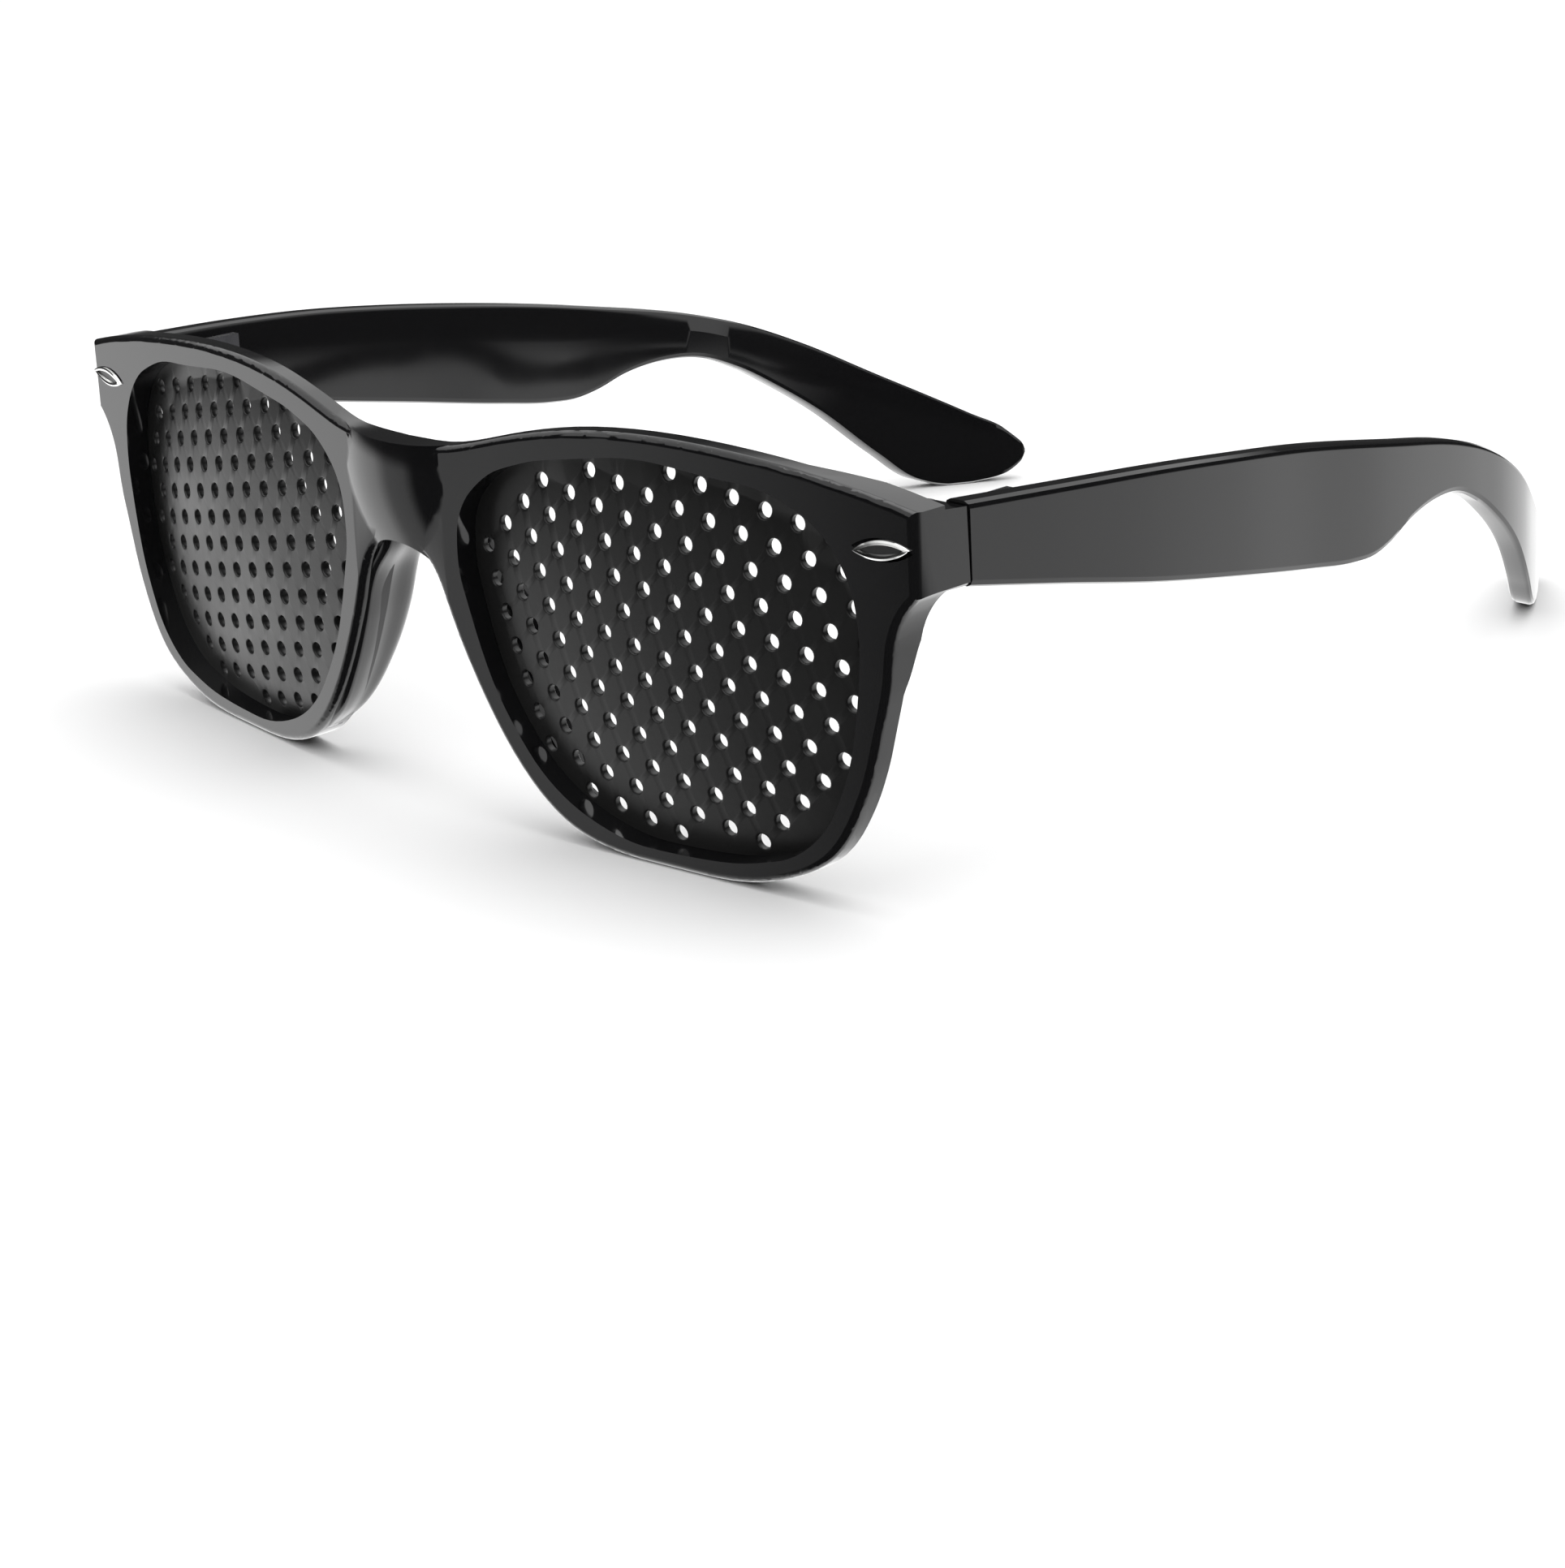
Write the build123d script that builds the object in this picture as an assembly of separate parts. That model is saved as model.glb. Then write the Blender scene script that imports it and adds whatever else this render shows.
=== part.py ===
from build123d import *
import os
from math import cos, pi, radians, sin, sqrt, tan

# Pinhole glasses: a moulded black front with squared brow, bridge and nose pads, two perforated
# plates in place of lenses, and two folding temples on screwed three-knuckle hinges.
# The glasses stand on a table, on their rims and temple tips. X runs across the front, with +X the
# wearer's left, Y from the front towards the ears, and Z up from the table.
# The origin is on the table, in the mirror plane, halfway from the front to the temple tips.
# The pieces are drawn from the middle of the lens planes and moved there at the end.
# What is written for the wearer's left is mirrored for the right.

os.makedirs("parts", exist_ok=True)

# Front, seen from straight ahead
front_width = 141.0
front_height = 45.6
between_openings = 19.3
beside_opening = 7.15
over_opening = 2.5
opening_bottom = 1.7

# Front, seen from above
lens_turn = 7.0
front_thickness = 4.2
bridge_half_flat = 8.0
barrel_radius = 24.0
barrel_proud = 1.5
barrel_drop = 9.1
front_edge_round = 0.8

# Plates and their groove
plate_thickness = 0.9
plate_recess = 2.8
plate_hold = 0.9
plate_play = 0.05
hole_diameter = 2.0
hole_pitch = 3.75
hole_row_turn = -13.0
hole_shift = (0.9, -0.45)
hole_margin = 0.15
hole_sides = 8

# Corner piece that turns back to the temple, and the temple's front end
corner_depth = 7.1
corner_drop = 4.3
corner_height = 7.9
corner_wall = 4.2
temple_gap = 0.25

# Eye-shaped rivet
rivet_length = 7.2
rivet_width = 2.3
rivet_thickness = 1.0
rivet_proud = 0.35
rivet_offset = 4.2
rivet_drop = 7.6
rivet_tilt = 7.0
rivet_groove = 0.25

# Hinge
knuckle_radius = 1.7
knuckle_count = 3
knuckle_height = 1.9
knuckle_gap = 0.08
hinge_drop = 8.3
hinge_wall_gap = 0.15
front_leaf_length = 3.6
temple_leaf_length = 9.0
temple_leaf_thickness = 1.1
leaf_seat = 0.05
screw_radius = 0.7
screw_play = 0.04
screw_head_radius = 1.25
screw_head_height = 0.6
screw_slot_width = 0.35
screw_slot_depth = 0.3

# Nose pads
pad_wall = 2.4
pad_spread = 2.2
pad_back = 5.6

# Temple
temple_reach = 142.4
temple_front_thickness = 4.2
temple_back_thickness = 3.4
temple_ridge = 0.5
temple_edge_bevel = 0.5

# Tools reach past what they cut by this much, and two edges closer than a seam are one
overrun = 2.0
seam = 0.01

half_width = front_width / 2
opening_width = half_width - between_openings / 2 - beside_opening
opening_height = front_height - over_opening - opening_bottom
lens_x = (between_openings + opening_width) / 2
turn = radians(lens_turn)
bridge_set_forward = (lens_x - bridge_half_flat) * tan(turn)
corner_top = front_height - corner_drop
corner_bottom = corner_top - corner_height

# Shares of the front's half width and of its height, from the middle outwards along the brow,
# then from the corner down round the rim and up to the bridge
brow_shares = ((0, 0.896), (0.131, 0.908), (0.2265, 0.943), (0.3625, 0.984), (0.5135, 1.0),
               (0.695, 0.99), (0.836, 0.967), (0.997, 0.921))
rim_shares = ((1.0, 0.742), (0.972, 0.7), (0.952, 0.637), (0.942, 0.535), (0.926, 0.438),
              (0.906, 0.328), (0.879, 0.228), (0.826, 0.112), (0.757, 0.049), (0.667, 0.009),
              (0.534, 0), (0.403, 0.008), (0.326, 0.044), (0.27, 0.104), (0.22, 0.188),
              (0.1765, 0.288), (0.142, 0.386), (0.116, 0.474), (0.0937, 0.558), (0.0625, 0.623),
              (0, 0.652))
# Shares of the opening's width from its nasal side, and of its height from its lowest point
opening_shares = ((1, 0.652), (0.98, 0.787), (0.918, 0.896), (0.821, 0.959), (0.633, 0.988),
                  (0.477, 1), (0.315, 0.975), (0.19, 0.945), (0.085, 0.89), (0.02, 0.804),
                  (0, 0.659), (0.026, 0.517), (0.104, 0.28), (0.225, 0.101), (0.389, 0.012),
                  (0.557, 0.004), (0.732, 0.031), (0.825, 0.072), (0.901, 0.155),
                  (0.948, 0.268), (0.993, 0.517))
# Shares of the temple's reach and of the front's height, along the top, then back underneath
temple_top_shares = ((0.083, 0.914), (0.17, 0.899), (0.26, 0.878), (0.355, 0.844),
                     (0.453, 0.8), (0.57, 0.733), (0.685, 0.654), (0.735, 0.603),
                     (0.803, 0.507), (0.876, 0.375), (0.953, 0.222), (0.986, 0.15),
                     (1.0, 0.08), (0.988, 0.024), (0.957, 0.002), (0.93, 0), (0.9, 0.03),
                     (0.867, 0.12), (0.809, 0.29), (0.765, 0.39), (0.72, 0.475),
                     (0.68, 0.524), (0.64, 0.534), (0.593, 0.513), (0.565, 0.483),
                     (0.54, 0.468), (0.51, 0.472), (0.454, 0.5), (0.353, 0.56),
                     (0.257, 0.618), (0.166, 0.678), (0.083, 0.727))
# Shares of the temple's reach and of the front's half width, along the temple's outer face
temple_plan_shares = ((0.083, 1.0), (0.17, 1.02), (0.25, 1.027), (0.35, 1.018),
                      (0.45, 0.996), (0.55, 0.978), (0.645, 0.947), (0.725, 0.914),
                      (0.78, 0.886), (0.836, 0.844), (0.9, 0.777), (0.97, 0.692),
                      (1.01, 0.638))
# Shares of the front's height at which a nose pad is cut, each with its depth as a share of the
# pad's depth, and the rim's nasal edge there as a share of the half width
pad_shares = ((0.64, 0.65, 0.05), (0.53, 1.0, 0.101), (0.40, 1.0, 0.138), (0.27, 0.8, 0.182),
              (0.14, 0.4, 0.243))


def front_y(x):
    # The front face's place along Y, at a distance x from the mirror plane
    if abs(x) <= bridge_half_flat:
        return -bridge_set_forward
    return (abs(x) - lens_x) * tan(turn)


corner_back = front_y(half_width) + corner_depth


def scaled(pairs, across, up):
    return [(a * across, b * up) for a, b in pairs]


def through(face_in_xz, start, length):
    # A face drawn in X and Z, carried along Y from start
    return extrude(Plane.XZ.offset(-start) * face_in_xz, -length)


def circle_direction(a, b, c):
    # The direction at b of the circle through a, b and c
    before, after = b - a, c - b
    return (before / before.dot(before) + after / after.dot(after)).normalized()


def far_direction(near, far, at_near):
    # The direction at far of an arc that leaves near in the direction at_near
    chord = (far - near).normalized()
    return chord * (2 * chord.dot(at_near)) - at_near


def arc_pair(a, along_a, b, along_b):
    # Two tangent arcs from a to b
    chord = b - a
    pull = chord.dot(along_a + along_b)
    bend = 2 * (1 - along_a.dot(along_b))
    reach = chord.dot(chord) / (pull + sqrt(pull * pull + bend * chord.dot(chord)))
    near, far = a + along_a * reach, b - along_b * reach
    joint = (near + far) / 2
    return [TangentArc(a, joint, tangent=along_a), TangentArc(joint, b, tangent=far - joint)]


def smooth(points, closed=False):
    # A smooth line of tangent arcs through the points
    spots = [Vector(*point) for point in points]
    if closed:
        ring = [spots[-1], *spots, spots[0]]
        ways = [circle_direction(*ring[i:i + 3]) for i in range(len(spots))]
        spots, ways = spots + spots[:1], ways + ways[:1]
    else:
        ways = [circle_direction(*spots[i:i + 3]) for i in range(len(spots) - 2)]
        first = far_direction(spots[1], spots[0], ways[0])
        last = far_direction(spots[-2], spots[-1], ways[-1])
        ways = [first, *ways, last]
    arcs = []
    for a, along_a, b, along_b in zip(spots, ways, spots[1:], ways[1:]):
        arcs += arc_pair(a, along_a, b, along_b)
    return arcs


def front_outline():
    side_top = scaled(brow_shares, half_width, front_height)
    side_rim = scaled(rim_shares, half_width, front_height)
    top = [(-x, z) for x, z in reversed(side_top[1:])] + side_top
    under = side_rim + [(-x, z) for x, z in reversed(side_rim[:-1])]
    ends = [Line(top[-1], under[0]), Line(under[-1], top[0])]
    return make_face([Spline(*top), Spline(*under), *ends])


def opening_outline(grow):
    # The opening of one rim, about the middle of its own width, larger all round by grow
    across = opening_width + 2 * grow
    up = opening_height + 2 * grow
    points = [((a - 0.5) * across, opening_bottom - grow + b * up) for a, b in opening_shares]
    return make_face(smooth(points, closed=True))


def lens_plane(depth):
    # The plane of a rim's front face, sunk by depth, with its Z axis pointing forwards
    back = Vector(-sin(turn), cos(turn), 0)
    foot = Vector(lens_x, front_y(lens_x), 0) + back * depth
    return Plane(origin=foot, x_dir=(cos(turn), sin(turn), 0), z_dir=back * -1)


def front_slab():
    # The front's shape from above: a flat bridge between two flat rims that turn back
    outer = half_width
    front = [(-outer, front_y(outer)), (-bridge_half_flat, front_y(0)),
             (bridge_half_flat, front_y(0)), (outer, front_y(outer))]
    back = [(x, y + front_thickness) for x, y in reversed(front)]
    return extrude(make_face(Polyline(*front, *back, close=True)), front_height * 2)


def corner_piece():
    # The front's end, carried back beside the temple and a little lower there
    start = front_y(half_width)
    end_top = front_height * brow_shares[-1][1]
    end_bottom = front_height * rim_shares[0][1]
    side = [(start, end_top), (corner_back, corner_top), (corner_back, corner_bottom),
            (start, end_bottom)]
    block = extrude(Plane.YZ.offset(half_width - corner_wall) *
                    make_face(Polyline(*side, close=True)), corner_wall)
    inside = start + front_thickness / 2
    return block & through(front_outline(), inside, corner_back - inside)


def nose_pad():
    # The pad grows out of the rim's nasal edge and spreads apart towards the face
    sections = []
    for up, deep, edge in pad_shares:
        z = up * front_height
        x = edge * half_width
        y = front_y(x) + front_thickness / 2
        back = front_y(x) + front_thickness + pad_back * deep
        lean = pad_spread * deep
        ring = [(x, y), (x + pad_wall, y), (x + lean + pad_wall, back - pad_wall / 4),
                (x + lean + pad_wall / 2, back), (x + lean, back - pad_wall / 4)]
        sections.append(Plane.XY.offset(z) * make_face(Polyline(*ring, close=True)))
    return loft(sections)


def rivet_outline(grow):
    # Two equal arcs that meet in points
    half = rivet_length / 2 + grow
    rise = rivet_width / 2 + grow
    over = ThreePointArc((-half, 0), (0, rise), (half, 0))
    below = ThreePointArc((half, 0), (0, -rise), (-half, 0))
    return make_face([over, below])


def rivet_plane(depth):
    x = half_width - rivet_offset
    spot = Vector(x, front_y(x), front_height - rivet_drop)
    face = Plane(origin=spot, x_dir=(cos(turn), sin(turn), 0), z_dir=(sin(turn), -cos(turn), 0))
    return face.rotated((0, 0, rivet_tilt)).offset(-depth)


def both_sides(solid):
    return solid + mirror(solid, about=Plane.YZ)


def front_border(solid):
    # The edges round the solid's front faces, but not those between two such faces
    faces = [face for face in solid.faces() if face.normal_at().Y < -cos(turn * 2)]
    edges = [edge for face in faces for edge in face.edges()]
    centres = [edge.center() for edge in edges]
    return [edge for edge, centre in zip(edges, centres)
            if sum((centre - other).length < seam for other in centres) == 1]


def make_front():
    slab_back = front_y(half_width) + front_thickness + overrun
    start = -bridge_set_forward - barrel_proud - overrun
    body = through(front_outline(), start, slab_back - start) & front_slab()
    body = body + both_sides(corner_piece())
    body = fillet(front_border(body), front_edge_round)
    barrel_centre = barrel_radius - barrel_proud - bridge_set_forward
    barrel = Pos(0, barrel_centre, front_height - barrel_drop) * Sphere(barrel_radius)
    bump = through(front_outline(), start, -start) & barrel
    body = body + bump
    opening = extrude(lens_plane(-overrun) * opening_outline(0), -front_thickness - overrun * 2)
    body = body - both_sides(opening)
    body = body + both_sides(nose_pad())
    groove = extrude(lens_plane(plate_recess - plate_play) * opening_outline(plate_hold + plate_play),
                     -plate_thickness - 2 * plate_play)
    body = body - both_sides(groove)
    pocket = extrude(rivet_plane(rivet_thickness - rivet_proud) * rivet_outline(0),
                     rivet_thickness + overrun)
    return body - both_sides(pocket)


def hole_places():
    # Rows of holes at a fixed pitch, kept where the whole hole lies on the plate
    inside = opening_outline(plate_hold - hole_diameter / 2 - hole_margin)
    reach = int(opening_width / hole_pitch) + 1
    tilt = radians(hole_row_turn)
    places = []
    for row in range(-reach, reach + 1):
        for step in range(-reach, reach + 1):
            a = (step + row / 2) * hole_pitch
            b = row * hole_pitch * cos(pi / 6)
            x = hole_shift[0] + a * cos(tilt) - b * sin(tilt)
            z = hole_shift[1] + a * sin(tilt) + b * cos(tilt) + opening_bottom + opening_height / 2
            if inside.is_inside(Vector(x, z, 0)):
                places.append((x, z))
    return places


def make_plate():
    sheet = opening_outline(plate_hold)
    hole = RegularPolygon(hole_diameter / 2, hole_sides)
    holed = sheet - [Pos(x, z) * hole for x, z in hole_places()]
    return extrude(lens_plane(plate_recess) * holed, -plate_thickness)


def make_rivet():
    body = extrude(rivet_plane(rivet_thickness - rivet_proud) * rivet_outline(0), rivet_thickness)
    ring = rivet_outline(-rivet_groove * 2) - rivet_outline(-rivet_groove * 3)
    groove = extrude(rivet_plane(-rivet_proud + rivet_groove) * ring, overrun)
    return body - groove


# The hinge's own places, from the corner piece and the temple
corner_inner = half_width - corner_wall
pin_x = corner_inner - hinge_wall_gap - knuckle_radius
pin_y = corner_back + temple_gap / 2
stack_height = knuckle_count * knuckle_height + (knuckle_count - 1) * knuckle_gap


def knuckle_level(number):
    return front_height - hinge_drop - stack_height / 2 + number * (knuckle_height + knuckle_gap)


def knuckle(number, points):
    # One knuckle: a round barrel about the pin, drawn together with the arm that carries it
    low = knuckle_level(number)
    arm = make_face(Polyline(*points, close=True))
    shape = arm + Pos(pin_x, pin_y) * Circle(knuckle_radius)
    bored = shape - Pos(pin_x, pin_y) * Circle(screw_radius + screw_play)
    return extrude(Plane.XY.offset(low) * bored, knuckle_height)


def front_leaf():
    # The leaf stands in the corner, against the corner's inner face and the back of the front
    seat = front_y(corner_inner) + front_thickness + leaf_seat
    side = corner_inner - leaf_seat
    left = side - front_leaf_length
    top = pin_y - knuckle_radius - knuckle_gap
    base_low = knuckle_level(0)
    base = Pos(0, 0, base_low) * extrude(make_face(Polyline(
        (left, seat), (side, seat), (side, top), (left, top), close=True)), stack_height)
    arm = [(pin_x - knuckle_radius, top - knuckle_radius / 2), (side, top - knuckle_radius / 2),
           (side, pin_y), (pin_x - knuckle_radius, pin_y)]
    return base + knuckle(0, arm) + knuckle(knuckle_count - 1, arm)


def temple_leaf():
    inner = temple_outer_x(pin_y + knuckle_radius) - temple_front_thickness - leaf_seat
    thin = inner - temple_leaf_thickness
    start = pin_y + knuckle_radius + knuckle_gap * 2
    low = knuckle_level(0)
    tongue = extrude(Plane.XY.offset(low) * make_face(Polyline(
        (thin, start), (inner, start), (inner, start + temple_leaf_length),
        (thin, start + temple_leaf_length), close=True)), stack_height)
    arm = [(pin_x, pin_y), (inner, pin_y + knuckle_radius / 2), (inner, start + knuckle_radius),
           (thin, start + knuckle_radius)]
    return tongue + knuckle(1, arm)


def temple_outer_x(y):
    # Straight between the plan's points near the front
    points = scaled(temple_plan_shares, temple_reach, half_width)
    for (y0, x0), (y1, x1) in zip(points, points[1:]):
        if y <= y1:
            return x0 + (x1 - x0) * (y - y0) / (y1 - y0)
    return points[-1][1]


def hinge_screw():
    low = knuckle_level(0)
    length = stack_height
    shank = Pos(pin_x, pin_y, low) * extrude(Circle(screw_radius), length)
    head = Pos(pin_x, pin_y, low + length) * extrude(Circle(screw_head_radius), screw_head_height)
    slot_low = low + length + screw_head_height - screw_slot_depth
    bar = Rectangle(screw_head_radius * 2 + screw_slot_width, screw_slot_width)
    slot = Pos(pin_x, pin_y, slot_low) * extrude(bar, screw_slot_depth * 2)
    return shank + head - slot


def temple_band():
    # The temple's thickness from above, wide at the hinge and thinner at the tip
    outer = [(b, a) for a, b in scaled(temple_plan_shares, temple_reach, half_width)]
    first = corner_back + temple_gap
    outer[0] = (outer[0][0], first)
    inner = []
    for x, y in outer:
        share = (y - first) / (temple_reach - first)
        wall = temple_front_thickness + (temple_back_thickness - temple_front_thickness) * share
        inner.append((x - wall, y - wall * 0.3 * share))
    inner[0] = (outer[0][0] - temple_front_thickness, first)
    a = Spline(*outer)
    b = Spline(*inner)
    return make_face([a, Line(a @ 1, b @ 1), b, Line(b @ 0, a @ 0)])


def make_temple():
    points = scaled(temple_top_shares, temple_reach, front_height)
    first = corner_back + temple_gap
    points[0] = (first, points[0][1])
    points[-1] = (first, points[-1][1])
    curve = Spline(*points)
    side = make_face([curve, Line(curve @ 1, curve @ 0)])
    blank = extrude(Plane.YZ * side, half_width + overrun)
    band = extrude(temple_band(), front_height)
    return blank & band


def mirrored(solid):
    return mirror(solid, about=Plane.YZ)


middle = (temple_reach - bridge_set_forward - barrel_proud) / 2


def write(solid, name):
    export_step(Pos(0, -middle, 0) * solid, "parts/" + name + ".step")


left_pieces = {
    "pinhole_plate": make_plate(),
    "rivet": make_rivet(),
    "front_hinge": front_leaf(),
    "temple_hinge": temple_leaf(),
    "hinge_screw": hinge_screw(),
    "temple": make_temple(),
}

write(make_front(), "front_frame")
for name, solid in left_pieces.items():
    write(solid, name + "_left")
    write(mirrored(solid), name + "_right")
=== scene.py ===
from math import cos, pi, radians, sin, sqrt, tan

import bmesh
import bpy
from mathutils import Matrix, Vector


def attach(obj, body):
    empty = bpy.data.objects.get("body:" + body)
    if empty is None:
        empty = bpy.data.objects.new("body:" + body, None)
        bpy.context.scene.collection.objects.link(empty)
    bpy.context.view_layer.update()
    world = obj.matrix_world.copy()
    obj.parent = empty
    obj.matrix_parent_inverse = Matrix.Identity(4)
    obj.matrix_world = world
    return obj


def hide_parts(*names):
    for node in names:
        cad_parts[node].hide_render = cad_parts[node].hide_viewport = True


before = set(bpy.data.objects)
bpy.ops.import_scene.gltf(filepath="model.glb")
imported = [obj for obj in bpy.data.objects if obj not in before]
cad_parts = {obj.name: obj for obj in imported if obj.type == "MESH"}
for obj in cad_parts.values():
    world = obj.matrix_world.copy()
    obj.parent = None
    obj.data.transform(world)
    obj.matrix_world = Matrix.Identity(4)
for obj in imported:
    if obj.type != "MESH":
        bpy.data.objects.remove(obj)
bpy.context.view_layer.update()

# Lengths are in millimetres unless a name says otherwise, and MM turns them into metres
MM = 0.001

# Points of a mesh that are nearer than this become one: of the CAD's mesh, of that mesh once it
# is cut, and of each new piece
WELD_CAD, WELD_CUT, WELD = 0.001, 0.004, 0.002

# The photograph's camera, from its perspective
CAMERA_AT = (284.4, -280.8, 122.3)
CAMERA_RIGHT = (0.6909, 0.7215, -0.0462)
CAMERA_UP = (-0.1640, 0.2186, 0.9619)
LENS = 77.58
SENSOR = 36.0
SHIFT = (-0.0030, -0.1369)

# The CAD model's own sizes. Its middle lies this far behind the plane of the lenses
MIDDLE = 68.7
HALF_WIDTH = 70.5
FRONT_HEIGHT = 45.6
FRONT_THICKNESS = 4.2
LENS_X = 36.5
TURN = radians(7.0)
BRIDGE_HALF_FLAT = 8.0
OPENING_WIDTH = 53.7
OPENING_HEIGHT = 41.4
OPENING_BOTTOM = 1.7
PLATE_THICKNESS = 0.9
PLATE_RECESS = 2.8
PLATE_HOLD = 0.8
PAD_WALL = 2.4
PAD_SPREAD = 2.2
PAD_BACK = 5.6
TEMPLE_REACH = 142.4
TEMPLE_START = 11.53

# The front's back bevel. The bars that cut it stand out by BEVEL_REACH, and at their ends they
# rise clear of the front over the lengths of the fades
BACK_BEVEL = 1.7
BEVEL_REACH = 1.2
BEVEL_CLEAR = 0.3
BROW_END = 65.5
BROW_FADE = 9
RIM_FADE = 6
RIM_BEVELLED = slice(12, 67)

# The rounding of the front's outer corner, across its face and along its side, between two
# heights. The bar that cuts it stands out by CORNER_REACH
CORNER_ROUND = (1.1, 3.2)
CORNER_LEVELS = (32, 45)
CORNER_REACH = 1

# Plates: each is domed within an oval, more on its front than on its back
DOME_HALF = (27.5, 21)
DOME_MIDDLE = 21.5
PLATE_BULGE = 2.0
BACK_BULGE = 1.6

# Holes: they lie in slanting rows, from one hole's place by a step along and a step across
HOLE_RADIUS = 0.84
HOLE_ROUND = 0.2
HOLE_SIDES = 20
HOLE_MARGIN = 0.8
HOLE_START = (0.85, 22.31)
HOLE_STEPS = ((4.08, -0.78), (2.79, 2.67))
HOLE_RANGES = (range(-20, 21), range(-12, 13))

# The hole's rounded edge, in shares of HOLE_ROUND: how deep, how far out
HOLE_EDGE = ((0.1, 0.55), (0.4, 0.16), (1, 0))

# Nose pads: how far their skin lies outside the solid, and where it leaves the rim
PAD_SKIN = 0.3
PAD_START = ((0.6, 0.9), (-PAD_SKIN, 1.3))
PAD_LAP = 0.4

# Temples: thinner towards the tip and a little slimmer than the CAD's. Their sections crowd
# towards the tip, where the last one is TIP_GAP short of the outline's farthest point
TEMPLE_WALL = 4.2
TEMPLE_THINNING = 0.8
TEMPLE_SLIM = 0.985
TEMPLE_STEPS = 150
TEMPLE_CROWDING = 1.6
TIP_ROUND = 0.8
TIP_GAP = 0.01
TIP_HEIGHT = 0.05

# The temple's edges and inner ridge, each with the most it may take of the section's size
EDGE_BEVEL, EDGE_BEVEL_SHARE = 0.55, 0.25
EDGE_SOFT, EDGE_SOFT_SHARE = 0.22, 0.1
EDGE_MIDDLE, EDGE_MIDDLE_OUT = 0.45, 0.4
RIDGE_DOWN = 0.38
RIDGE_LEAN, RIDGE_LEAN_SHARE = 0.9, 0.2
RIDGE_FADE = 6

# Rivets: half their length and height, and their place from the front's outer end and top
RIVET_HALF = 3.6
RIVET_RISE = 1.05
RIVET_POINT = 1.6
RIVET_IN = 4.2
RIVET_DOWN = 7.6
RIVET_TILT = radians(7)

# The rivet's profile: how far its outline moves in, how far it stands out of the front
RIVET_PROFILE = ((0, -0.7), (0, 0.12), (0.06, 0.24), (0.25, 0.34), (0.5, 0.28), (0.62, 0.05))

# What the gloss sees: the table's brightness by direction, in degrees from straight ahead
# round to the left, then the table's and the ceiling's share by height, from 0 down to 1 up
TABLE = ((-180, 1.3), (-118, 1.3), (-92, 0.03), (30, 0.02), (37, 0.8), (50, 0.8), (60, 1.8),
         (100, 1.8), (180, 1.3))
BELOW = ((0.0, 1.0), (0.43, 1.0), (0.46, 0.03), (1.0, 0.03))
ABOVE = ((0.0, 0.0), (0.67, 0.0), (0.72, 1.0), (1.0, 1.0))
CEILING = 1.2
FLOOR_HALF_METRES = 1.5
FLOOR_DROP = 0.02

# Outlines, in shares of the front's half width and height
BROW_SHARES = ((0, 0.896), (0.131, 0.908), (0.2265, 0.943), (0.3625, 0.984), (0.5135, 1.0),
               (0.695, 0.99), (0.836, 0.967), (0.997, 0.921))
RIM_SHARES = ((1.0, 0.742), (0.972, 0.7), (0.952, 0.637), (0.942, 0.535), (0.926, 0.438),
              (0.906, 0.328), (0.879, 0.228), (0.826, 0.112), (0.757, 0.049), (0.667, 0.009),
              (0.534, 0), (0.403, 0.008), (0.326, 0.044), (0.27, 0.104), (0.22, 0.188))

# In shares of the opening's width and height
OPENING_SHARES = ((1, 0.652), (0.98, 0.787), (0.918, 0.896), (0.821, 0.959), (0.633, 0.988),
                  (0.477, 1), (0.315, 0.975), (0.19, 0.945), (0.085, 0.89), (0.02, 0.804),
                  (0, 0.659), (0.026, 0.517), (0.104, 0.28), (0.225, 0.101), (0.389, 0.012),
                  (0.557, 0.004), (0.732, 0.031), (0.825, 0.072), (0.901, 0.155),
                  (0.948, 0.268), (0.993, 0.517))

# Height, depth behind the front and nasal edge, in shares of FRONT_HEIGHT, PAD_BACK, HALF_WIDTH
PAD_SHARES = ((0.7, 0.15, 0.06), (0.64, 0.65, 0.05), (0.53, 1.0, 0.101), (0.40, 1.0, 0.138),
              (0.27, 0.8, 0.182), (0.14, 0.4, 0.243), (0.075, 0, 0.297))

# In shares of the temple's reach and the front's height, or half width for the plan
TEMPLE_TOP = ((0.08, 0.914), (0.17, 0.899), (0.26, 0.878), (0.355, 0.844), (0.453, 0.8),
              (0.57, 0.733), (0.685, 0.654), (0.735, 0.603), (0.803, 0.507), (0.876, 0.375),
              (0.953, 0.23), (0.985, 0.165), (1.0, 0.09))
TEMPLE_UNDER = ((0.08, 0.729), (0.166, 0.678), (0.257, 0.618), (0.353, 0.56), (0.454, 0.5),
                (0.51, 0.472), (0.54, 0.468), (0.565, 0.483), (0.593, 0.513), (0.64, 0.534),
                (0.68, 0.524), (0.72, 0.475), (0.765, 0.39), (0.809, 0.29), (0.867, 0.12),
                (0.9, 0.03), (0.93, 0), (0.957, 0.002), (0.986, 0.028), (1.0, 0.09))
TEMPLE_PLAN = ((0.08, 1.0), (0.17, 1.02), (0.25, 1.027), (0.35, 1.018), (0.45, 0.996),
               (0.55, 0.978), (0.645, 0.947), (0.725, 0.914), (0.78, 0.886), (0.836, 0.844),
               (0.9, 0.777), (0.97, 0.692), (1.01, 0.638))


# Curves

def way(before, here, after):
    # The direction at here of the circle through three points, or of the chord at an end
    one, two = here - before, after - here
    if not one.length:
        return two.normalized()
    if not two.length:
        return one.normalized()
    return (one / one.length_squared + two / two.length_squared).normalized()


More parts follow.
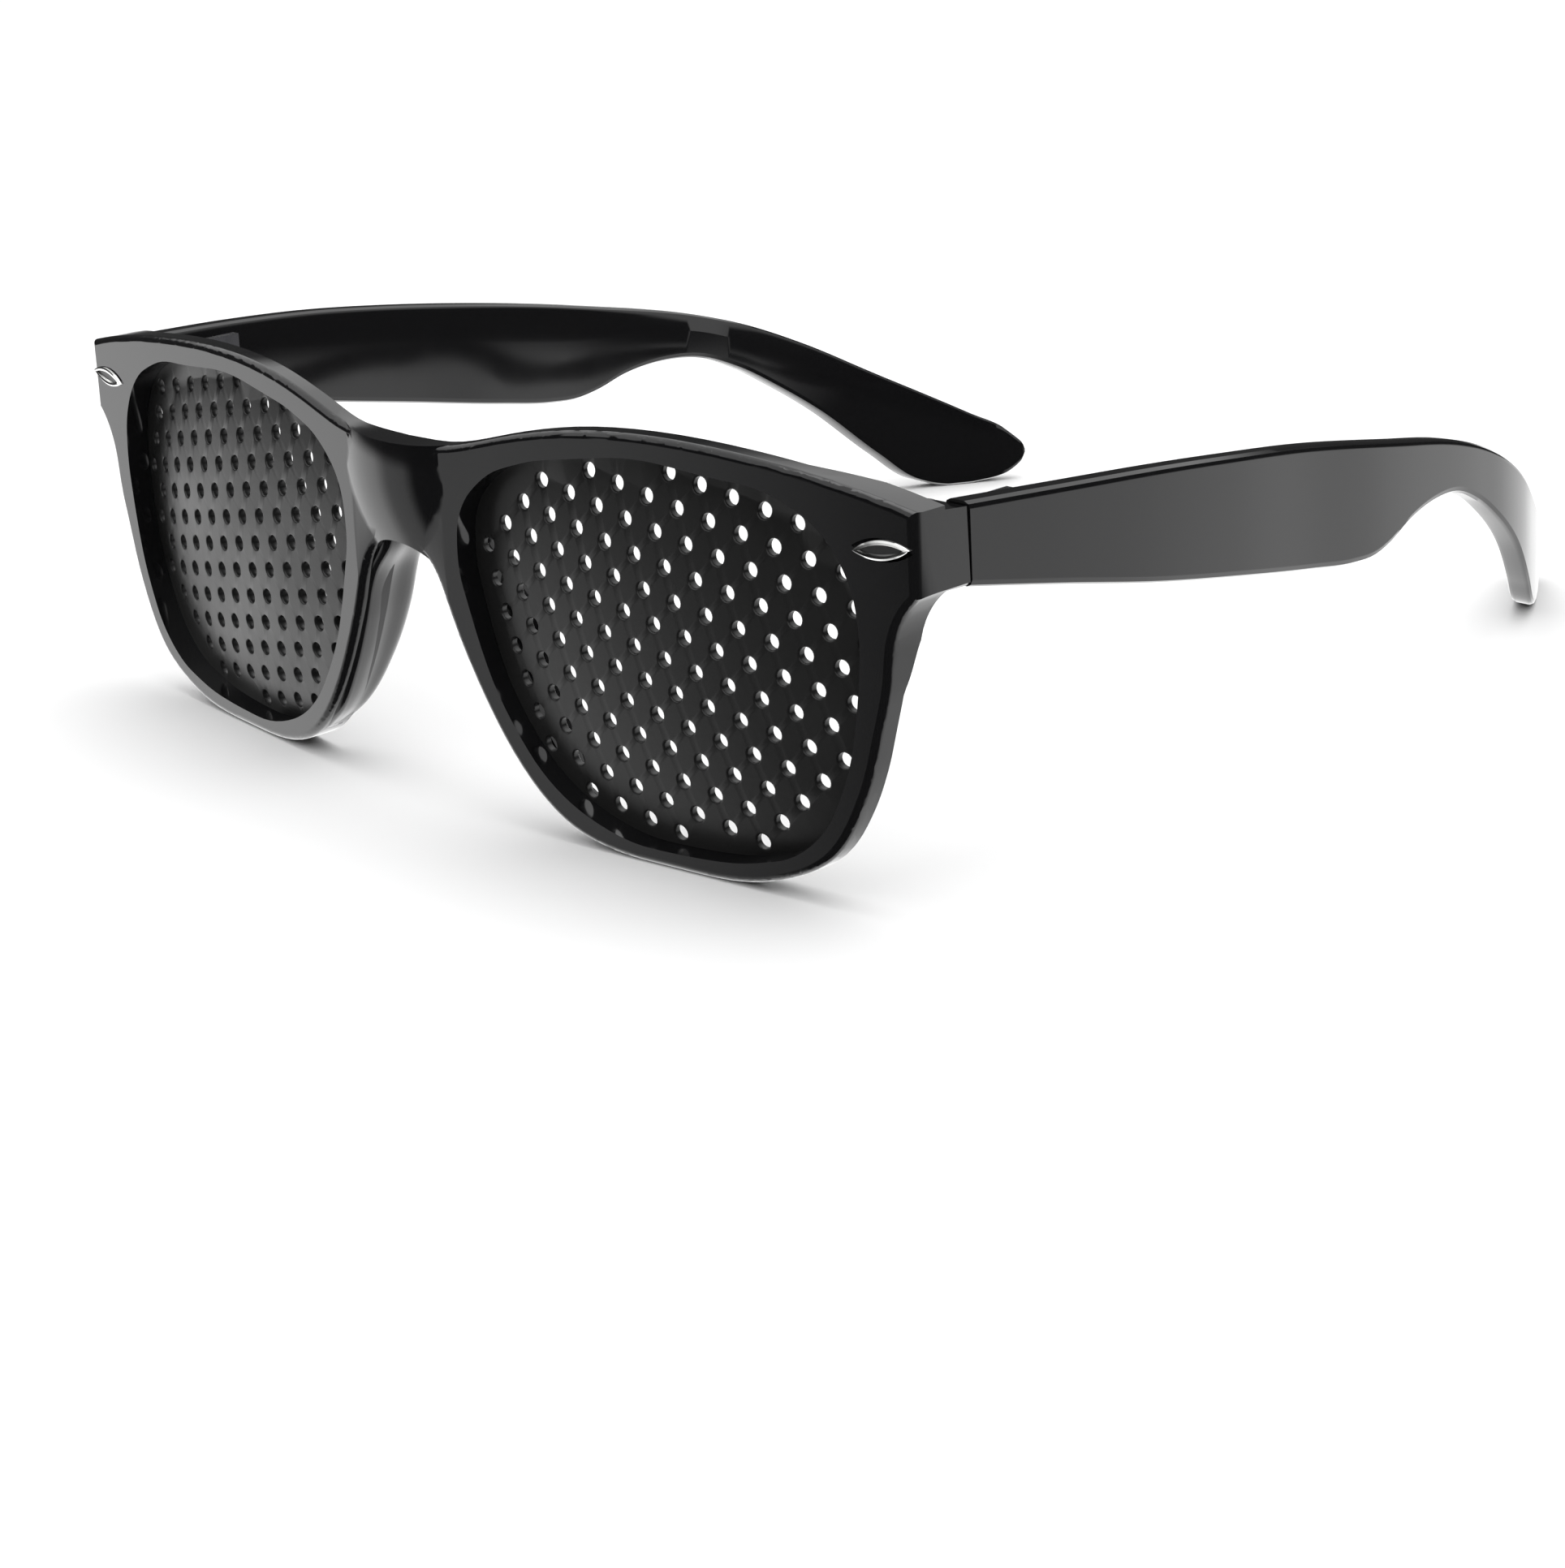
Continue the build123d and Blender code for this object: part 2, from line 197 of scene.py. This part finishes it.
def bend(points, closed=False, steps=6):
    # A smooth line through the points
    points = [Vector(point) for point in points]
    count = len(points)
    line = []
    for i in range(count if closed else count - 1):
        a, b = points[i], points[(i + 1) % count]
        before = points[i - 1] if closed or i else a
        after = points[(i + 2) % count] if closed or i + 2 < count else b
        reach = (b - a).length
        at_a = way(before, a, b) * reach
        at_b = way(a, b, after) * reach
        for step in range(steps):
            t = step / steps
            line.append(a * (2 * t ** 3 - 3 * t ** 2 + 1) + at_a * (t ** 3 - 2 * t ** 2 + t)
                        + b * (3 * t ** 2 - 2 * t ** 3) + at_b * (t ** 3 - t ** 2))
    if not closed:
        line.append(points[-1])
    return line


def height_at(line, across):
    # The line's height at a place across it
    for (x0, y0), (x1, y1) in zip(line, line[1:]):
        if across <= x1:
            return y0 + (y1 - y0) * (across - x0) / (x1 - x0)
    return line[-1][1]


def scaled(shares, across, up):
    return [(a * across, b * up) for a, b in shares]


def flipped(line):
    return [Vector((-point.x, point.y)) for point in line]


def front_y(x):
    # How far behind the plane of the lenses the front's face is, turned back beside the bridge
    return (max(abs(x), BRIDGE_HALF_FLAT) - LENS_X) * tan(TURN)


def spot(x, y, z):
    # A place in metres, from millimetres across, behind the plane of the lenses and up
    return Vector((x, y - MIDDLE, z)) * MM


# Meshes

def ring(bm, points):
    return [bm.verts.new(point) for point in points]


def join_rings(bm, rings):
    for a, b in zip(rings, rings[1:]):
        for i in range(len(a)):
            j = (i + 1) % len(a)
            bm.faces.new((a[i], a[j], b[j], b[i]))


def new_object(bm, name):
    mesh = bpy.data.meshes.new(name)
    bm.to_mesh(mesh)
    bm.free()
    obj = bpy.data.objects.new(name, mesh)
    bpy.context.scene.collection.objects.link(obj)
    return obj


def new_piece(bm, name, slot, body, replaced=None, sharp=30):
    # A smooth piece that keeps its edges sharper than that many degrees
    bmesh.ops.remove_doubles(bm, verts=bm.verts, dist=WELD * MM)
    bmesh.ops.recalc_face_normals(bm, faces=bm.faces)
    for face in bm.faces:
        face.smooth = True
    for edge in bm.edges:
        edge.smooth = edge.is_manifold and edge.calc_face_angle(0) < radians(sharp)
    obj = new_object(bm, name)
    for material in looks[slot]:
        obj.data.materials.append(material)
    weigh = obj.modifiers.new("normals", "WEIGHTED_NORMAL")
    weigh.keep_sharp = True
    weigh.weight = 80
    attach(obj, body)
    if replaced:
        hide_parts(replaced)


# Materials

def principled(name, colour, roughness, metallic=0.0):
    material = bpy.data.materials.new(name)
    material.use_nodes = True
    shader = material.node_tree.nodes["Principled BSDF"]
    shader.inputs["Base Color"].default_value = (*colour, 1)
    shader.inputs["Roughness"].default_value = roughness
    shader.inputs["Metallic"].default_value = metallic
    return material, material.node_tree, shader


def noise(tree, scale, detail, stretch=(1, 1, 1)):
    place = tree.nodes.new("ShaderNodeTexCoord")
    mapping = tree.nodes.new("ShaderNodeMapping")
    mapping.inputs["Scale"].default_value = stretch
    texture = tree.nodes.new("ShaderNodeTexNoise")
    texture.inputs["Scale"].default_value = scale
    texture.inputs["Detail"].default_value = detail
    tree.links.new(place.outputs["Object"], mapping.inputs["Vector"])
    tree.links.new(mapping.outputs["Vector"], texture.inputs["Vector"])
    return texture.outputs["Fac"]


def roughened(tree, shader, value, low, high):
    # Roughness from low to high, over the middle of the noise's values
    change = tree.nodes.new("ShaderNodeMapRange")
    change.inputs["From Min"].default_value = 0.3
    change.inputs["From Max"].default_value = 0.7
    change.inputs["To Min"].default_value = low
    change.inputs["To Max"].default_value = high
    tree.links.new(value, change.inputs["Value"])
    tree.links.new(change.outputs["Result"], shader.inputs["Roughness"])


def bumped(tree, shader, value, strength, distance):
    bump = tree.nodes.new("ShaderNodeBump")
    bump.inputs["Strength"].default_value = strength
    bump.inputs["Distance"].default_value = distance * MM
    tree.links.new(value, bump.inputs["Height"])
    tree.links.new(bump.outputs["Normal"], shader.inputs["Normal"])


def gloss_plastic(name):
    # Polished black plastic: slow waves from the mould and a faint haze of handling
    material, tree, shader = principled(name, (0.006, 0.006, 0.0065), 0.12)
    roughened(tree, shader, noise(tree, 120, 2), 0.09, 0.13)
    bumped(tree, shader, noise(tree, 45, 1), 0.25, 0.06)
    return material


def satin_plastic(name, grey, low, high):
    # Eggshell plastic with a fine even grain
    material, tree, shader = principled(name, (grey, grey, grey), low)
    grain = noise(tree, 2600, 3)
    roughened(tree, shader, noise(tree, 90, 3), low, high)
    bumped(tree, shader, grain, 0.3, 0.015)
    return material


def brushed_metal(name, colour, low, high, stretch=(1, 1, 1)):
    material, tree, shader = principled(name, colour, low, 1.0)
    marks = noise(tree, 900, 3, stretch)
    roughened(tree, shader, marks, low, high)
    bumped(tree, shader, marks, 0.15, 0.01)
    return material


# Front: the CAD front, with a long bevel round its back edge and rounded outer corners

def cutting_bar(rings):
    bm = bmesh.new()
    rings = [ring(bm, points) for points in rings]
    join_rings(bm, rings)
    bm.faces.new(rings[0])
    bm.faces.new(rings[-1])
    bmesh.ops.recalc_face_normals(bm, faces=bm.faces)
    return new_object(bm, "bar")


def bevel_bar(line, side, fade_in, fade_out):
    # A three-cornered bar along a line of the outline. Its cut fades out at both ends
    run = [0]
    for a, b in zip(line, line[1:]):
        run.append(run[-1] + (b - a).length)
    rings = []
    for i, here in enumerate(line):
        along = (line[min(i + 1, len(line) - 1)] - line[max(i - 1, 0)]).normalized()
        out = Vector((along.y, -along.x)) * side
        fade = min(run[i] / fade_in, (run[-1] - run[i]) / fade_out, 1)
        deep = (BACK_BEVEL + BEVEL_CLEAR) * fade - BEVEL_CLEAR
        back = front_y(here.x) + FRONT_THICKNESS
        corners = ((BEVEL_REACH, -deep - BEVEL_REACH), (BEVEL_REACH, BEVEL_REACH),
                   (-deep - BEVEL_REACH, BEVEL_REACH))
        rings.append([spot(here.x + out.x * a, back + b, here.y + out.y * a)
                      for a, b in corners])
    return cutting_bar(rings)


def corner_bar(side):
    # An upright bar that leaves a quarter oval where the front's face meets its side
    across, along = CORNER_ROUND
    start = HALF_WIDTH - across
    face = front_y(start)
    plan = [(start + across * sin(t), face + along * (1 - cos(t)))
            for t in (radians(9 * i) for i in range(11))]
    beyond, before = HALF_WIDTH + CORNER_REACH, face - CORNER_REACH
    plan += [(beyond, plan[-1][1]), (beyond, before), (start, before)]
    return cutting_bar([[spot(side * x, y, z) for x, y in plan] for z in CORNER_LEVELS])


def make_front():
    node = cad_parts["front_frame"]
    bm = bmesh.new()
    bm.from_mesh(node.data)
    bmesh.ops.transform(bm, matrix=node.matrix_world, verts=bm.verts)
    bmesh.ops.remove_doubles(bm, verts=bm.verts, dist=WELD_CAD * MM)
    rough = new_object(bm, "rough_front")
    brow = bend(scaled(BROW_SHARES, HALF_WIDTH, FRONT_HEIGHT))
    brow = flipped(reversed(brow[1:])) + brow
    brow = [point for point in brow if abs(point.x) < BROW_END]
    rim = bend(scaled(RIM_SHARES, HALF_WIDTH, FRONT_HEIGHT))[RIM_BEVELLED]
    bars = [bevel_bar(brow, -1, BROW_FADE, BROW_FADE), bevel_bar(rim, -1, RIM_FADE, BROW_FADE),
            bevel_bar(flipped(rim), 1, RIM_FADE, BROW_FADE), corner_bar(1), corner_bar(-1)]
    for bar in bars:
        cut = rough.modifiers.new("cut", "BOOLEAN")
        cut.operation = "DIFFERENCE"
        cut.solver = "EXACT"
        cut.object = bar
    shown = rough.evaluated_get(bpy.context.evaluated_depsgraph_get())
    bm = bmesh.new()
    bm.from_mesh(shown.to_mesh())
    for obj in [rough, *bars]:
        bpy.data.objects.remove(obj)
    bmesh.ops.remove_doubles(bm, verts=bm.verts, dist=WELD_CUT * MM)
    bmesh.ops.dissolve_limit(bm, angle_limit=radians(0.5), verts=bm.verts, edges=bm.edges)
    new_piece(bm, "front", "frame_plastic", "front", "front_frame", sharp=22)


# Plates: domed sheets with soft-edged round holes

def plate_spot(side, u, w, depth, bulge):
    # u from the opening's middle outwards, w up, depth behind the rim's face
    across = (u / DOME_HALF[0]) ** 2
    up = ((w - DOME_MIDDLE) / DOME_HALF[1]) ** 2
    depth -= bulge * (1 - min(across + up, 1))
    x = LENS_X + u * cos(TURN) - depth * sin(TURN)
    y = u * sin(TURN) + depth * cos(TURN)
    return spot(side * x, y, w)


def opening_line(grow):
    across, up = OPENING_WIDTH + 2 * grow, OPENING_HEIGHT + 2 * grow
    return bend([((a - 0.5) * across, OPENING_BOTTOM - grow + b * up)
                 for a, b in OPENING_SHARES], closed=True)


def inside(line, point):
    # Whether a level ray from the point crosses the closed line an odd number of times
    odd = False
    for a, b in zip(line, line[1:] + line[:1]):
        if (a.y > point.y) != (b.y > point.y):
            if point.x < a.x + (b.x - a.x) * (point.y - a.y) / (b.y - a.y):
                odd = not odd
    return odd


def hole_places():
    limit = opening_line(-HOLE_MARGIN)
    start, across, up = Vector(HOLE_START), Vector(HOLE_STEPS[0]), Vector(HOLE_STEPS[1])
    places = [start + across * i + up * j for i in HOLE_RANGES[0] for j in HOLE_RANGES[1]]
    return [place for place in places if inside(limit, place)]


def flat_sheet(bm, holes):
    # A flat sheet with the holes in it, and its loops of vertices: its edge, then each hole's
    angles = [2 * pi * i / HOLE_SIDES for i in range(HOLE_SIDES)]
    wide = HOLE_RADIUS + HOLE_ROUND
    lines = [opening_line(PLATE_HOLD)]
    lines += [[place + Vector((cos(a), sin(a))) * wide for a in angles] for place in holes]
    loops = [ring(bm, [point.to_3d() for point in line]) for line in lines]
    edges = [bm.edges.new((loop[i - 1], loop[i])) for loop in loops for i in range(len(loop))]
    bmesh.ops.triangle_fill(bm, use_beauty=True, edges=edges)
    return loops


def make_plate(side, name, replaced, holes):
    back_depth = PLATE_RECESS + PLATE_THICKNESS
    bm = bmesh.new()
    front_loops, back_loops = flat_sheet(bm, holes), flat_sheet(bm, holes)
    flat = {vert: vert.co.to_2d() for vert in bm.verts}
    back = {vert for loop in back_loops for vert in loop}
    join_rings(bm, [front_loops[0], back_loops[0]])
    for place, front_loop, back_loop in zip(holes, front_loops[1:], back_loops[1:]):
        rows = [front_loop]
        levels = [(HOLE_RADIUS + HOLE_ROUND * out, PLATE_RECESS + HOLE_ROUND * deep, PLATE_BULGE)
                  for deep, out in HOLE_EDGE]
        levels.append((HOLE_RADIUS, back_depth - HOLE_ROUND, BACK_BULGE))
        for radius, depth, bulge in levels:
            at = [place + (flat[vert] - place).normalized() * radius for vert in front_loop]
            rows.append(ring(bm, [plate_spot(side, p.x, p.y, depth, bulge) for p in at]))
        join_rings(bm, rows + [back_loop])
    for vert, (u, w) in flat.items():
        depth, bulge = (back_depth, BACK_BULGE) if vert in back else (PLATE_RECESS, PLATE_BULGE)
        vert.co = plate_spot(side, u, w, depth, bulge)
    new_piece(bm, name, "plate_plastic", "front", replaced, sharp=40)


# Nose pads: a smooth skin over the frame's pads, from the bridge down to the rim's underside

def make_pad(side, name):
    line = bend([(edge * HALF_WIDTH, up * FRONT_HEIGHT, deep * PAD_BACK)
                 for up, deep, edge in PAD_SHARES], steps=8)
    bm = bmesh.new()
    rings = []
    for x, z, deep in line:
        face = front_y(x)
        back = face + FRONT_THICKNESS + max(deep, 0)
        lean = PAD_SPREAD * deep / PAD_BACK
        skin = x - PAD_SKIN
        root, tip = face + FRONT_THICKNESS / 2, back - PAD_WALL / 4
        corners = [(x + across, face + along) for across, along in PAD_START]
        corners += [(skin, root), (skin + lean / 2, (root + tip) / 2), (skin + lean, tip),
                    (x + lean + PAD_WALL / 2, back + PAD_SKIN),
                    (x + lean + PAD_WALL + PAD_SKIN, tip),
                    (x + PAD_WALL, face + FRONT_THICKNESS - PAD_LAP)]
        rings.append(ring(bm, [spot(side * point.x, point.y, z)
                               for point in bend(corners, closed=True, steps=5)]))
    join_rings(bm, rings)
    bm.faces.new(rings[0])
    bm.faces.new(rings[-1])
    new_piece(bm, name, "frame_plastic", "front", sharp=40)


# Temples: section after section, with bevelled edges, a ridge inside and a round tip

def temple_section(outer, inner, high, low, lean):
    # The section's corners, across and up, with each edge bevelled and the bevel softened.
    # Above the ridge the inner face leans outwards
    tall = max(high - low, TIP_HEIGHT)
    cut = min(EDGE_BEVEL, tall * EDGE_BEVEL_SHARE)
    whole = cut + min(EDGE_SOFT, tall * EDGE_SOFT_SHARE)
    inner_top = inner + lean
    mid = cut * EDGE_MIDDLE
    return [(outer - whole, high), (outer - cut * EDGE_MIDDLE_OUT, high - mid),
            (outer, high - whole), (outer, low + whole), (outer - mid, low + mid),
            (outer - whole, low), (inner + whole, low), (inner + mid, low + mid),
            (inner, low + whole), (inner, high - tall * RIDGE_DOWN), (inner_top, high - whole),
            (inner_top + mid, high - mid), (inner_top + whole, high)]


def make_temple(side, name, body, replaced):
    plan = bend(scaled(TEMPLE_PLAN, TEMPLE_REACH, HALF_WIDTH))
    outline = bend(scaled(TEMPLE_TOP + TEMPLE_UNDER[-2::-1], TEMPLE_REACH, FRONT_HEIGHT), steps=10)
    tip = max(outline, key=lambda point: point.x)
    turn = outline.index(tip)
    top, under = outline[:turn + 1], outline[:turn - 1:-1]
    bm = bmesh.new()
    rings = []
    for i in range(TEMPLE_STEPS + 1):
        share = 1 - (1 - i / TEMPLE_STEPS) ** TEMPLE_CROWDING
        y = TEMPLE_START + (tip.x - TIP_GAP - TEMPLE_START) * share
        near_tip = min((tip.x - y) / TIP_ROUND, 1)
        inset = TIP_ROUND * (1 - sqrt(1 - (1 - near_tip) ** 2))
        outer = height_at(plan, y) - inset
        wall = (TEMPLE_WALL - TEMPLE_THINNING * share) * TEMPLE_SLIM - 2 * inset
        lean = min(RIDGE_LEAN, wall * RIDGE_LEAN_SHARE) * min(1, max(0, (1 - share) * RIDGE_FADE))
        section = temple_section(outer, outer - wall, height_at(top, y),
                                 max(height_at(under, y), 0), lean)
        rings.append(ring(bm, [spot(side * x, y, z) for x, z in section]))
    join_rings(bm, rings)
    bm.faces.new(rings[0])
    bm.faces.new(rings[-1])
    new_piece(bm, name, "temple_plastic", body, replaced, sharp=24)


# Rivets: a bright raised rim round a dark sunken middle

def eye_line(inset, count=16):
    # Two arcs that meet in points
    half, rise = RIVET_HALF - inset * RIVET_POINT, RIVET_RISE - inset
    radius = (half * half + rise * rise) / (2 * rise)
    line = []
    for sign in (1, -1):
        for i in range(count):
            x = -half + 2 * half * i / count
            line.append((x * sign, (sqrt(radius * radius - x * x) - radius + rise) * sign))
    return line


def make_rivet(side, name, replaced):
    x, z = HALF_WIDTH - RIVET_IN, FRONT_HEIGHT - RIVET_DOWN
    bm = bmesh.new()
    rings = []
    for inset, proud in RIVET_PROFILE:
        points = []
        for a, b in eye_line(inset):
            u = a * cos(RIVET_TILT) - b * sin(RIVET_TILT)
            w = a * sin(RIVET_TILT) + b * cos(RIVET_TILT)
            points.append(spot(side * (x + u * cos(TURN) + proud * sin(TURN)),
                               front_y(x) + u * sin(TURN) - proud * cos(TURN), z + w))
        rings.append(ring(bm, points))
    join_rings(bm, rings)
    bm.faces.new(rings[-1]).material_index = 1
    bm.faces.new(rings[0])
    new_piece(bm, name, "rivet_metal", "front", replaced, sharp=35)


# Studio

def ramp(tree, value, stops):
    # Greys by value, in straight steps from stop to stop
    node = tree.nodes.new("ShaderNodeValToRGB")
    elements = node.color_ramp.elements
    for element, (position, grey) in ((elements[0], stops[0]), (elements[1], stops[-1])):
        element.position = position
        element.color = (grey, grey, grey, 1)
    for position, grey in stops[1:-1]:
        elements.new(position).color = (grey, grey, grey, 1)
    tree.links.new(value, node.inputs["Fac"])
    return node.outputs["Color"]


def maths(tree, kind, *values):
    node = tree.nodes.new("ShaderNodeMath")
    node.operation = kind
    for socket, value in zip(node.inputs, values):
        if isinstance(value, (int, float)):
            socket.default_value = value
        else:
            tree.links.new(value, socket)
    return node.outputs["Value"]


def make_world():
    # Plain white to the camera. The gloss sees a bright table with a dark place in front, where
    # the photographer stands, a dark room at eye level and a bright ceiling
    world = bpy.data.worlds.new("studio")
    bpy.context.scene.world = world
    world.use_nodes = True
    tree = world.node_tree
    room = tree.nodes["Background"]
    seen = tree.nodes.new("ShaderNodeBackground")
    for background in (room, seen):
        background.inputs["Color"].default_value = (1, 1, 1, 1)
    seen.inputs["Strength"].default_value = 1.0
    place = tree.nodes.new("ShaderNodeTexCoord")
    split = tree.nodes.new("ShaderNodeSeparateXYZ")
    tree.links.new(place.outputs["Generated"], split.inputs["Vector"])
    x, y, z = (split.outputs[axis] for axis in "XYZ")
    to_left = maths(tree, "ARCTAN2", maths(tree, "MULTIPLY", x, -1.0),
                    maths(tree, "MULTIPLY", y, -1.0))
    round_table = maths(tree, "MULTIPLY_ADD", to_left, 0.5 / pi, 0.5)
    height = maths(tree, "MULTIPLY_ADD", z, 0.5, 0.5)
    table = ramp(tree, round_table, [(0.5 + angle / 360, grey) for angle, grey in TABLE])
    below = ramp(tree, height, BELOW)
    above = ramp(tree, height, ABOVE)
    light = maths(tree, "MULTIPLY_ADD", above, CEILING, maths(tree, "MULTIPLY", table, below))
    tree.links.new(light, room.inputs["Strength"])
    path = tree.nodes.new("ShaderNodeLightPath")
    choose = tree.nodes.new("ShaderNodeMixShader")
    tree.links.new(path.outputs["Is Camera Ray"], choose.inputs["Fac"])
    tree.links.new(room.outputs["Background"], choose.inputs[1])
    tree.links.new(seen.outputs["Background"], choose.inputs[2])
    tree.links.new(choose.outputs["Shader"], tree.nodes["World Output"].inputs["Surface"])


def make_floor():
    bm = bmesh.new()
    bmesh.ops.create_grid(bm, x_segments=1, y_segments=1, size=FLOOR_HALF_METRES)
    bmesh.ops.translate(bm, verts=bm.verts, vec=(0, 0, -FLOOR_DROP * MM))
    floor = new_object(bm, "floor")
    floor.data.materials.append(principled("floor_white", (0.93, 0.93, 0.93), 0.9)[0])
    floor.visible_glossy = False


def make_light(name, at, size, watts):
    # A soft light that faces the middle of the object, placed and sized in metres
    data = bpy.data.lights.new(name, "AREA")
    data.shape = "RECTANGLE"
    data.size, data.size_y = size
    data.energy = watts
    light = bpy.data.objects.new(name, data)
    bpy.context.scene.collection.objects.link(light)
    light.location = at
    light.rotation_euler = Vector(at).normalized().to_track_quat("Z", "Y").to_euler()


def make_camera():
    data = bpy.data.cameras.new("camera")
    data.sensor_fit = "HORIZONTAL"
    data.sensor_width = SENSOR
    data.lens = LENS
    data.shift_x, data.shift_y = SHIFT
    data.clip_start = 0.01
    data.clip_end = 20
    camera = bpy.data.objects.new("camera", data)
    bpy.context.scene.collection.objects.link(camera)
    right = Vector(CAMERA_RIGHT).normalized()
    back = right.cross(Vector(CAMERA_UP)).normalized()
    up = back.cross(right)
    turn = Matrix((right, up, back)).transposed().to_4x4()
    camera.matrix_world = Matrix.Translation(Vector(CAMERA_AT) * MM) @ turn
    bpy.context.scene.camera = camera


# The materials, by the record's material slot that a piece takes its finish from
looks = {
    "frame_plastic": [gloss_plastic("frame_plastic")],
    "temple_plastic": [gloss_plastic("temple_plastic")],
    "plate_plastic": [satin_plastic("plate_plastic", 0.012, 0.3, 0.4)],
    "rivet_metal": [brushed_metal("rivet_metal", (0.78, 0.78, 0.77), 0.12, 0.22),
                    satin_plastic("rivet_dark", 0.02, 0.25, 0.35)],
    "hinge_metal": [brushed_metal("hinge_metal", (0.07, 0.07, 0.075), 0.22, 0.34, (1, 1, 0.2))],
    "screw_metal": [brushed_metal("screw_metal", (0.55, 0.55, 0.56), 0.15, 0.25)],
}

bpy.context.scene.view_settings.view_transform = "Standard"
make_camera()
make_front()
plate_holes = hole_places()
for side, which in ((1, "left"), (-1, "right")):
    make_plate(side, "plate_" + which, "pinhole_plate_" + which, plate_holes)
    make_temple(side, "arm_" + which, which + "_arm", "temple_" + which)
    make_rivet(side, "rivet_eye_" + which, "rivet_" + which)
    make_pad(side, "nose_pad_" + which)
    for name, slot in (("front_hinge_", "hinge_metal"), ("temple_hinge_", "hinge_metal"),
                       ("hinge_screw_", "screw_metal")):
        for material_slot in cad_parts[name + which].material_slots:
            material_slot.material = looks[slot][0]
make_world()
make_floor()
make_light("overhead", (0.0, 0.1, 0.9), (0.9, 0.7), 3.5)
